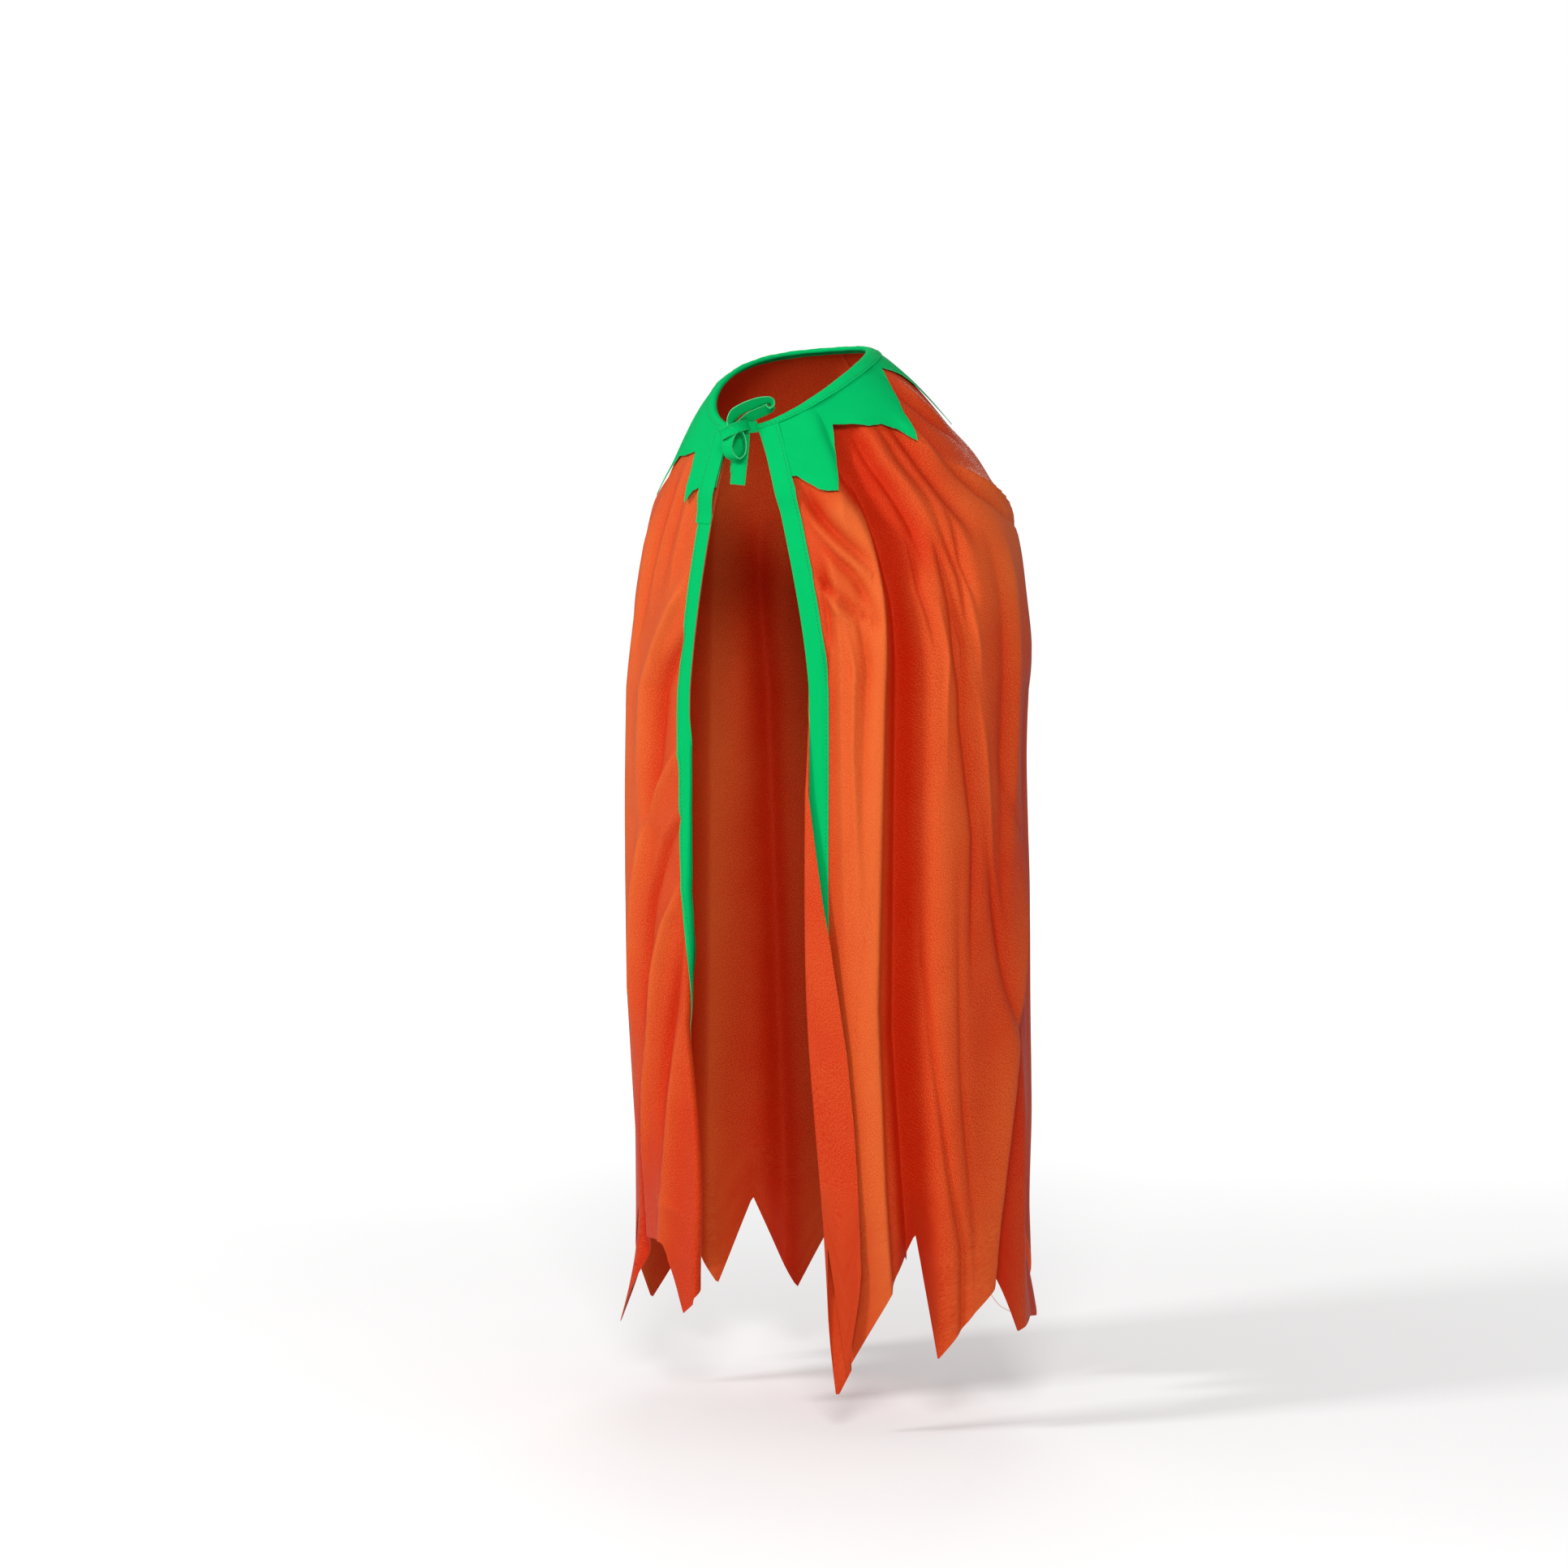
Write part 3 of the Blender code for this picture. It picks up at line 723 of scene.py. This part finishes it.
# The weave scale is 314 over the distance between threads in mm
ORANGE_CLOTH = cloth_material("orange_satin", ORANGE, ORANGE_PALE_AND_HIGHLIGHT, weave_scale=909.09, roughness=0.44,
                              grain=0.9, shine=0.28, tint=(1.0, 0.60, 0.25), rib=0.8, crest=1.0)
GREEN_CLOTH = cloth_material("green_plain_weave", GREEN, GREEN_LIGHT, weave_scale=1111.11, roughness=0.80,
                             grain=0.25, shine=0.05, tint=(0.3, 1.0, 0.5))
ORANGE_CUT = edge_material("orange_cut_edge", ORANGE, ORANGE_EDGE)
GREEN_CUT = edge_material("green_cut_edge", GREEN, GREEN_EDGE)
GREEN_THREAD = thread_material("green_sewing_thread", THREAD)
LOOSE_THREAD = thread_material("orange_sewing_thread", ORANGE_THREAD)


# --- pieces ---

def across_hinge(piece):
    """Bakes the piece's transform into its mesh; the cloth is not bent where the still shoulders and back meet
    the swinging fronts.
    """
    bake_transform(piece)


def hem_height(side, psi, apart, past):
    """The hem's height at an angle or, past the turn, at a distance from the cut edge."""
    by_angle = straight(HEM[side], np.abs(psi))
    return np.where(apart < past, straight(HEM_PAST_TURN[side], apart / MM), by_angle)


def cape_columns(side, hem_level):
    """(shares of the way from the middle of the back to the fine zone, distances from the cut edge in it)."""
    line, past = TURN_LINE[side](hem_level), straight(TURNED[side], hem_level) * MM
    zone = line - (FINE_ZONE - past) / pace(line, hem_level)
    fine_from = FINE_COLUMNS_FROM if side == "left" else np.inf
    stops = [0.0] + [float(p) for p, _ in HEM[side] if 0 < p < zone - 1] + [float(zone)]
    angles = divided(stops, lambda angle: FINE_COLUMN if angle > fine_from else COLUMN)
    if side == "right":
        angles = [-SEAM_OVERLAP] + angles
    marks = sorted({0.0, *[m for m, _ in HEM_PAST_TURN[side]], FINE_ZONE / MM})
    apart = divided(marks, lambda _: EDGE_COLUMN)
    return np.array(angles[:-1]) / zone, np.array(apart[::-1]) * MM


def cape_rows():
    """The rows that keep one level: closer at the neck, then even over the shoulders and down the cape."""
    neck = np.linspace(0, 0.12, 7)[:-1]
    shoulder = np.linspace(0.12, 1.0, 58)[:-1]
    hanging = np.arange(1.0, 1.0 + SHOULDER_Z - LAST_LEVEL_ROW, ROW)
    return np.concatenate([neck, shoulder, hanging])


def cape_grid(side):
    """Points of one half of the cape, rows down the cloth, and how much painted highlight each gets."""
    sign = SIDES[side]
    shares, apart = cape_columns(side, MEAN_HEM_LEVEL)
    rows = cape_rows()
    down = np.linspace(0, 1, HEM_ROWS + 1)[1:] ** 0.9
    count, cut = len(rows) + len(down), len(shares)
    levels = np.repeat(np.array([*rows, *[0.0] * len(down)])[:, None], cut + len(apart), 1)
    edge_apart = np.repeat(apart[None], count, 0)
    not_at_edge = np.full((count, cut), np.inf)
    # the lowest rows' levels depend on the hem, and the hem on their angles, so each is worked out in turn
    for _ in range(3):
        past = straight(TURNED[side], levels) * MM
        line = TURN_LINE[side](levels)
        zone = line - (FINE_ZONE - past[:, -1:]) / pace(line[:, -1:], levels[:, -1:])
        before_turn = np.clip(edge_apart - past[:, cut:], 0, None) / pace(line, levels)[:, cut:]
        psi = np.concatenate([shares[None] * zone[:, :1], line[:, :1] - before_turn], 1)
        hem = hem_height(side, psi, np.concatenate([not_at_edge, edge_apart], 1), past)
        for row, share in enumerate(down, len(rows)):
            levels[row] = 1 + SHOULDER_Z - (LAST_LEVEL_ROW + (hem[row] - LAST_LEVEL_ROW) * share)
    grid = np.empty((count, levels.shape[1], 3))
    grid[:, :cut] = hang(sign * psi[:, :cut], levels[:, :cut])
    grid[:, cut:] = front_edge(side, edge_apart, levels[:, cut:])[0]
    if side == "right":
        step = np.array([1, 1, 0.7]) * SEAM_STEP
        grid[:, :3] -= bare_normal(sign * psi[:, :3], levels[:, :3]) * step[None, :, None]
    return curl_tips(grid, levels, sign * psi), painted_light_share(sign * psi, levels)


# How the hem's points curl: angle of the point, and how far its tip leans out in mm
TIP_CURLS = [(154, 2), (124, -5), (97, 5), (72, 9), (50, -5), (25, 6), (-5, -5), (-34, 7), (-60, -6),
             (-87, 6), (-123, 14), (-160, -4)]
CURL_HEIGHT, CURL_LENGTH, CURL_SPREAD = -0.70, 0.10, 9.0


def curl_tips(grid, levels, psi):
    below = np.clip((levels - (1 + SHOULDER_Z - CURL_HEIGHT)) / CURL_LENGTH, 0, 1.2) ** 1.7
    for angle, lean in TIP_CURLS:
        near = np.exp(-((psi - angle) / CURL_SPREAD) ** 2)
        grid += outward(psi, levels) * (lean * MM * below * near)[..., None]
    return grid


def add_cape_half(side):
    # the second result is each point's share of painted highlight on crests and painted shade in valleys
    grid, crest = cape_grid(side)
    if side == "right":
        grid, crest = grid[:, ::-1], crest[:, ::-1]
    half = sheet_object(f"{side}_cape_cloth", grid, CAPE_THICK, [ORANGE_CLOTH, ORANGE_CUT], crest)
    across_hinge(half)
    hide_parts("cape_back", f"{side}_front")


def collar_surface(psi, level):
    """The collar bridges the cape's valleys and rides over its ridges, and its points lift a little."""
    nearby = [psi + step for step in (-1.4, -0.7, 0, 0.7, 1.4)]
    under = np.max([folds(angle, level)[0] + wrinkles(angle, level) for angle in nearby], 0)
    height = np.maximum(under, 0.35 * under) + COLLAR_LIFT
    ripple = COLLAR_RIPPLE * (1 + np.sin(0.19 * psi + 9 * level) * ramp(level, 0, 0.15))
    lifted = LEAF_LIFT * ramp(level, 0.2, 0.42) ** 1.6
    return bare_drape(psi, level) + bare_normal(psi, level) * (height + ripple + lifted)[..., None]


def add_collar():
    psi = np.array(divided([angle for angle, _ in LEAVES], lambda _: LEAF_COLUMN))[None]
    fray = 1 + 0.004 * np.sin(psi * 5.7) * np.sin(psi * 2.1 + 1)
    levels = COLLAR_TOP + (straight(LEAVES, psi) * fray - COLLAR_TOP) * np.linspace(0.0, 1, 46)[:, None]
    reach = (TURN_LINE["left"](levels) - COLLAR_END) * ramp(np.abs(psi), COLLAR_EASE_FROM, COLLAR_END)
    grid = collar_surface(psi + np.sign(psi) * reach, levels)
    collar = sheet_object("leaf_collar_cloth", grid, GREEN_THICK, [GREEN_CLOTH, GREEN_CUT])
    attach(collar, "shoulders")
    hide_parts("leaf_collar")


def neck_point(psi, down, lift):
    """A point this far down the cloth from the neck edge and this high over it, and the cloth's normal.

    down may be negative, for points above the neck edge.
    """
    level = np.clip(down, 0, None) / SHOULDER_CLOTH
    here = bare_drape(psi, level)
    step = unit(bare_drape(psi, 0.05) - bare_drape(psi, 0.0))
    normal = bare_normal(psi, level)
    return here + step * np.minimum(down, 0)[..., None] + normal * lift[..., None], normal


# The neck binding's section: distance down from the neck edge and height, in mm, from its outer lower edge
# over the top
BINDING_SECTION = [(10.5, 2.45), (10.0, 2.6), (8.0, 2.65), (5.0, 2.75), (2.0, 2.6), (0.6, 2.2), (-0.3, 1.4),
                   (-0.6, 0.3), (-0.3, -0.7), (0.8, -1.2), (3.0, -1.3), (6.5, -1.3)]
BINDING_PAST_EDGE = 1.0
BINDING_STITCHES_DOWN = 8.3 * MM
BINDING_STITCHES_LIFT = 0.33 * MM


def add_binding():
    end = float(TURN_LINE["left"](NEAR_NECK)) + BINDING_PAST_EDGE
    psi = np.linspace(-end, end, 240)
    section = smooth_line(np.array(BINDING_SECTION) * MM, 30)
    # the stuffing of the fold varies a little round the neck
    ease = 1 + 0.07 * np.sin(psi * 0.31) + 0.04 * np.sin(psi * 0.83 + 1)
    angles, down = np.broadcast_arrays(psi, section[:, :1])
    grid, _ = neck_point(angles, down, section[:, 1:] * ease)
    binding = sheet_object("neck_binding_tape", grid, GREEN_THICK, [GREEN_CLOTH, GREEN_CLOTH])
    outer_face = 2.65 * MM
    stitch_down = np.full(len(psi), BINDING_STITCHES_DOWN)
    line, normals = neck_point(psi, stitch_down, outer_face * ease + BINDING_STITCHES_LIFT)
    thread = stitches_object("binding_stitches", line[3:-3], normals[3:-3])
    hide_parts("neck_binding")
    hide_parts("binding_stitching")
    for piece, slot in ((binding, "green_cloth"), (thread, "green_thread")):
        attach(piece, "shoulders")


def facing_lift(level):
    """A strip lies on the cape, and higher up it rides over the collar and its lifted points."""
    on_collar = eased(ramp(level, 0.46, 0.36))
    over_collar = FACING_OVER_COLLAR + FACING_OVER_LEAVES * ramp(level, 0.2, 0.4)
    return FACING_LIFT + (over_collar - FACING_LIFT) * on_collar


FACING_INSET = 0.25 * MM
FACING_STITCHES_IN = 2.6 * MM


def facing_grid(side, insets, levels, lift=0.0):
    """Points of a front strip at these distances from its outer edge, and their normals."""
    inset, level = np.broadcast_arrays(insets[None], levels[:, None])
    past = straight(TURNED[side], level) * MM
    # on the wearer's left the strip starts at the turn, and on the right it goes round behind with the cape
    from_cut = inset + (past if side == "left" else 0) + FACING_INSET
    points, normals = front_edge(side, from_cut, level)
    return points + normals * (facing_lift(level) + lift)[..., None], normals


def add_strip(side, name, width, first, last, rows, lift=0.0):
    """A green strip along a front edge, with a row of stitches near its inner side."""
    levels = np.linspace(first, last, rows)
    columns = 15
    grid, normals = facing_grid(side, np.linspace(0.0, width, columns), levels, lift)
    if side == "left":
        grid, normals = grid[:, ::-1], normals[:, ::-1]
    strip = sheet_object(f"{name}_strip", grid, GREEN_THICK, [GREEN_CLOTH, GREEN_CUT])
    line, up = facing_grid(side, np.array([width - FACING_STITCHES_IN]), levels[2:-1], lift)
    thread = stitches_object(f"{name}_stitches", (line + up * (GREEN_THICK / 2))[:, 0], up[:, 0])
    for piece, slot in ((strip, "green_cloth"), (thread, "green_thread")):
        across_hinge(piece)
    length = float(lengths(grid[:, columns // 2])[-1])
    return strip, thread


def add_facings():
    top = 0.025
    strip, thread = add_strip("left", "left_facing", FACING_WIDTH, top, 1.43, 200)
    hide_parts("left_facing_upper", "left_facing_lower")
    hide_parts("left_stitching_upper", "left_stitching_lower")
    # the right strip is joined below the collar, its upper part lying over the lower one
    strip, thread = add_strip("right", "right_facing_top", FACING_WIDTH + 1.2 * MM, top, 0.475, 70,
                              lift=0.8 * MM)
    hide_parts("right_facing_upper")
    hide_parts("right_stitching_upper")
    strip, thread = add_strip("right", "right_facing_low", FACING_WIDTH - 1.0 * MM, 0.44, 1.34, 150)
    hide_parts("right_facing_lower")
    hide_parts("right_stitching_lower")


# --- the bow ---

# The knot, and the bow's own directions: the way its front faces, across it and up
KNOT = np.array(JOINTS["upper_loop_swing"]["pos_m"])
FACES = np.array([0.5736, -0.8192, 0.0])
ACROSS = np.array([0.8192, 0.5736, 0.0])
UP = np.array([0.0, 0.0, 1.0])


def bow_directions(rows):
    """Rows of (across, up, out towards the wearer's front left), turned to the shared frame."""
    rows = np.asarray(rows, float)
    return rows[:, :1] * ACROSS + rows[:, 1:2] * UP + rows[:, 2:3] * FACES


def tape_object(name, body, node, path, widths, count, width, bulge=0.25 * MM):
    """A folded tape with a row of stitches near both edges, on both faces.

    path is in mm from the knot, and widths are the directions across the tape at the path's points.
    """
    line, way = smooth_line(KNOT + bow_directions(np.array(path) * MM), count, widths)
    way = bow_directions(way)
    ahead = unit(np.gradient(line, axis=0))
    way = unit(way - ahead * (way * ahead).sum(-1, keepdims=True))
    normal = np.cross(ahead, way)
    share = np.linspace(-1, 1, 11)
    grid = line[:, None] + way[:, None] * (share * width / 2)[None, :, None]
    grid = grid + normal[:, None] * (bulge * (1 - share**2))[None, :, None]
    tape = sheet_object(name, grid, TAPE_THICK, [GREEN_CLOTH, GREEN_CUT])
    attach(tape, body)
    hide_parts(node)
    for edge, at in (("a", 0.8), ("b", -0.8)):
        for face in (1, -1):
            height = bulge * (1 - at**2) + face * TAPE_THICK / 2
            stitch_line = line + way * (at * width / 2) + normal * height
            label = f"{name}_stitches_{edge}{'_back' if face < 0 else ''}"
            thread = stitches_object(label, stitch_line, normal * face, radius=0.16 * MM)
            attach(thread, body)
    length = float(lengths(line)[-1])


def add_bow():
    """Two loops and two tails, each a path of listed points and the directions across the tape."""
    upper = [(-2, -1, 3), (-5, 3.5, 5.5), (-3, 9.5, 7), (3.5, 14, 8), (12, 17.5, 8), (20, 19.5, 6.5),
             (26, 19, 4), (27, 16, 2.5), (23, 13.5, 2), (16, 10.5, 1.5), (9, 7, 1), (2, 1, 0)]
    upper_way = [(-0.5, 0.3, 0.8), (-0.6, 0.3, 0.75), (-0.5, 0.45, 0.75), (-0.3, 0.55, 0.78),
                 (-0.2, 0.6, 0.77), (-0.1, 0.62, 0.77), (-0.05, 0.62, 0.77), (-0.1, 0.62, 0.77),
                 (-0.15, 0.6, 0.75), (-0.2, 0.6, 0.75), (-0.25, 0.55, 0.7), (-0.3, 0.5, 0.7)]
    tape_object("upper_bow_loop_tape", "upper_loop", "upper_bow_loop", upper, upper_way, 84, UPPER_LOOP_WIDTH)
    lower = [(-3, -3, 3), (-7.5, -10, 5), (-9, -18, 5.5), (-6.5, -24.5, 4.5), (-1.5, -27, 2.5),
             (3, -23.5, 0.5), (4.5, -16, -0.5), (3, -8, -0.5), (0, -2, 0)]
    lower_way = [(0.75, 0.1, 0.65), (0.75, 0.05, 0.65), (0.72, 0, 0.68), (0.7, 0.1, 0.7), (0.55, 0.05, 0.83),
                 (0.45, 0, 0.9), (0.4, 0, 0.92), (0.4, 0, 0.92), (0.4, 0, 0.92)]
    tape_object("lower_bow_loop_tape", "lower_loop", "lower_bow_loop", lower, lower_way, 76, LOWER_LOOP_WIDTH)
    front = [(3, -1, -2.5), (3.2, -10, -3), (2.2, -22, -3.2), (0.6, -36, -3), (-0.6, -48, -2.4)]
    front_way = [(1, 0, 0.1)] * len(front)
    tape_object("front_tie_tail_tape", "front_tail", "front_tie_tail", front, front_way, 50, TAIL_WIDTH)
    rear = [(1, -1, -6.2), (0.5, -12, -8.0), (0, -24, -8.2), (-0.5, -38, -7.6)]
    rear_way = [(1, 0.05, 0.08)] * len(rear)
    tape_object("rear_tie_tail_tape", "rear_tail", "rear_tie_tail", rear, rear_way, 40, TAIL_WIDTH)


def add_ties():
    """The leads from the binding's ends to the knot, and the wrap that makes the knot."""
    for side, sign in SIDES.items():
        corner = sign * float(TURN_LINE[side](NEAR_NECK))
        end, _ = neck_point(np.array([corner]), np.array([4.5 * MM]), np.array([2.2 * MM]))
        from_knot = np.array([ACROSS, UP, FACES]) @ (end[0] - KNOT) / MM
        start = from_knot + np.array([sign * 1.2, -0.4, 0.0])
        goal = np.array([sign * 1.5, 0.5, -1.0])
        middle = (start + goal) / 2 + np.array([0, -0.8, 0.8])
        way = [(0.15 * sign, 1, -0.25), (0, 1, 0), (0, 1, 0)]
        tape_object(f"{side}_tie_tape", "shoulders", f"{side}_tie", [start, middle, goal], way, 24, TIE_WIDTH)
    wrap = [(9.5, 1.5, -1.5), (7, 1.2, 3.5), (1, -0.8, 8.2), (-7, -4.0, 8.6), (-13.5, -7.0, 5.5),
            (-15, -7.5, 1.5), (-11, -6, -1.5)]
    wrap_way = [(-0.2, 1, 0), (-0.25, 1, 0), (-0.3, 1, 0.05), (-0.3, 1, 0.05), (-0.3, 1, 0), (-0.3, 1, 0),
                (-0.3, 1, 0)]
    tape_object("tie_knot_wrap", "shoulders", "tie_knot", wrap, wrap_way, 60, WRAP_WIDTH, bulge=0.6 * MM)


def add_loose_thread():
    """A loose end of thread lying across the hem at the wearer's left."""
    psi = np.array([104, 98, 91, 84, 76, 69])
    level = np.array([1.50, 1.512, 1.520, 1.522, 1.518, 1.508])
    radius, lift = 0.22 * MM, 1.2 * MM
    line = smooth_line(hang(psi, level) + outward(psi, level) * lift, 60)
    points, faces = tube_rings(line, radius)
    thread = mesh_object("loose_hem_thread", points, faces, LOOSE_THREAD)
    across_hinge(thread)
    length = float(lengths(line)[-1])


# --- the studio ---

CAMERA_AZIMUTH = np.radians(35)
CAMERA_RISE = np.radians(2)
CAMERA_DISTANCE = 2.9
SENSOR_WIDTH = 36.0
FIELD_WIDTH = 1.333
# The middle of the picture: to the camera's right of the shared frame's origin, and up
AIM = (-0.013, -0.331)

# Square lamps: name, place, size in metres and power in watts. They all face the middle of the cape.
LIGHTS = [
    ("side", (-1.3, -2.2, 1.0), 0.5, 44),
    ("front", (1.7, -2.4, 1.2), 0.8, 56),
    ("top", (0.0, 0.0, 3.4), 3.0, 15),
    ("back", (-1.6, 2.8, 1.5), 1.5, 26),
]
LIGHTS_AIM = np.array([0, 0.04, -0.4])
WHITE = (1, 1, 1, 1)
FLOOR_BELOW_HEM = 0.035
FLOOR_HALF = 40


def add_camera():
    across, ahead = np.cos(CAMERA_AZIMUTH), np.sin(CAMERA_AZIMUTH)
    back = np.array([ahead * np.cos(CAMERA_RISE), -across * np.cos(CAMERA_RISE), np.sin(CAMERA_RISE)])
    aim = np.array([across * AIM[0], ahead * AIM[0], AIM[1]])
    data = bpy.data.cameras.new("camera")
    data.lens = SENSOR_WIDTH * CAMERA_DISTANCE / FIELD_WIDTH
    data.clip_end = 50
    camera = add_object("camera", data)
    camera.location = aim + back * CAMERA_DISTANCE
    camera.rotation_euler = (np.pi / 2 - CAMERA_RISE, 0, CAMERA_AZIMUTH)
    bpy.context.scene.camera = camera


def add_light(name, place, size, power):
    data = bpy.data.lights.new(name, "AREA")
    data.size = size
    data.energy = power
    light = add_object(name, data)
    light.location = place
    way = LIGHTS_AIM - np.array(place)
    light.rotation_euler = (np.arctan2(np.hypot(way[0], way[1]), -way[2]), 0, np.arctan2(-way[0], way[1]))


def add_floor():
    """A pale floor that glows more with distance, so that it runs into the white backdrop."""
    mesh = bpy.data.meshes.new("floor")
    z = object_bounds()[0][2] - FLOOR_BELOW_HEM
    corners = [(x * FLOOR_HALF, y * FLOOR_HALF, z) for x, y in ((-1, -1), (1, -1), (1, 1), (-1, 1))]
    mesh.from_pydata(corners, [], [(0, 1, 2, 3)])
    made = Nodes("pale_floor")
    place = made.add("TexCoord").outputs["Object"]
    colour = made.mix(made.noise(place, 3.0), (0.74, 0.74, 0.74), (0.78, 0.78, 0.78))
    away = made.add("VectorMath", {0: place}, operation="LENGTH").outputs["Value"]
    reach = {"Value": away, "From Min": 0.2, "From Max": 4.0, "To Min": 0.1, "To Max": 1.0}
    glow = made.add("MapRange", reach).outputs["Result"]
    # the glow is seen, but lights the cape much less
    seen = made.add("LightPath").outputs["Is Camera Ray"]
    strength = made.math("MULTIPLY", glow, made.math("MAXIMUM", seen, 0.12))
    made.fill(made.shader, {"Base Color": colour, "Roughness": 0.8, "Emission Color": WHITE,
                            "Emission Strength": strength})
    mesh.materials.append(made.material)
    add_object("floor", mesh)


def add_backdrop():
    """White where the camera sees it, and a dimmer light on the cape."""
    world = bpy.data.worlds.new("studio")
    world.use_nodes = True
    nodes = world.node_tree.nodes
    seen = nodes.new("ShaderNodeLightPath")
    strength = nodes.new("ShaderNodeMapRange")
    strength.inputs["To Min"].default_value = 0.25
    strength.inputs["To Max"].default_value = 1.0
    world.node_tree.links.new(seen.outputs["Is Camera Ray"], strength.inputs["Value"])
    world.node_tree.links.new(strength.outputs["Result"], nodes["Background"].inputs["Strength"])
    nodes["Background"].inputs["Color"].default_value = WHITE
    bpy.context.scene.world = world
    bpy.context.scene.view_settings.view_transform = "Standard"


def main():
    for side in SIDES:
        add_cape_half(side)
    add_facings()
    add_collar()
    add_binding()
    add_ties()
    add_bow()
    add_loose_thread()
    add_floor()
    add_backdrop()
    for light in LIGHTS:
        add_light(*light)
    add_camera()


main()
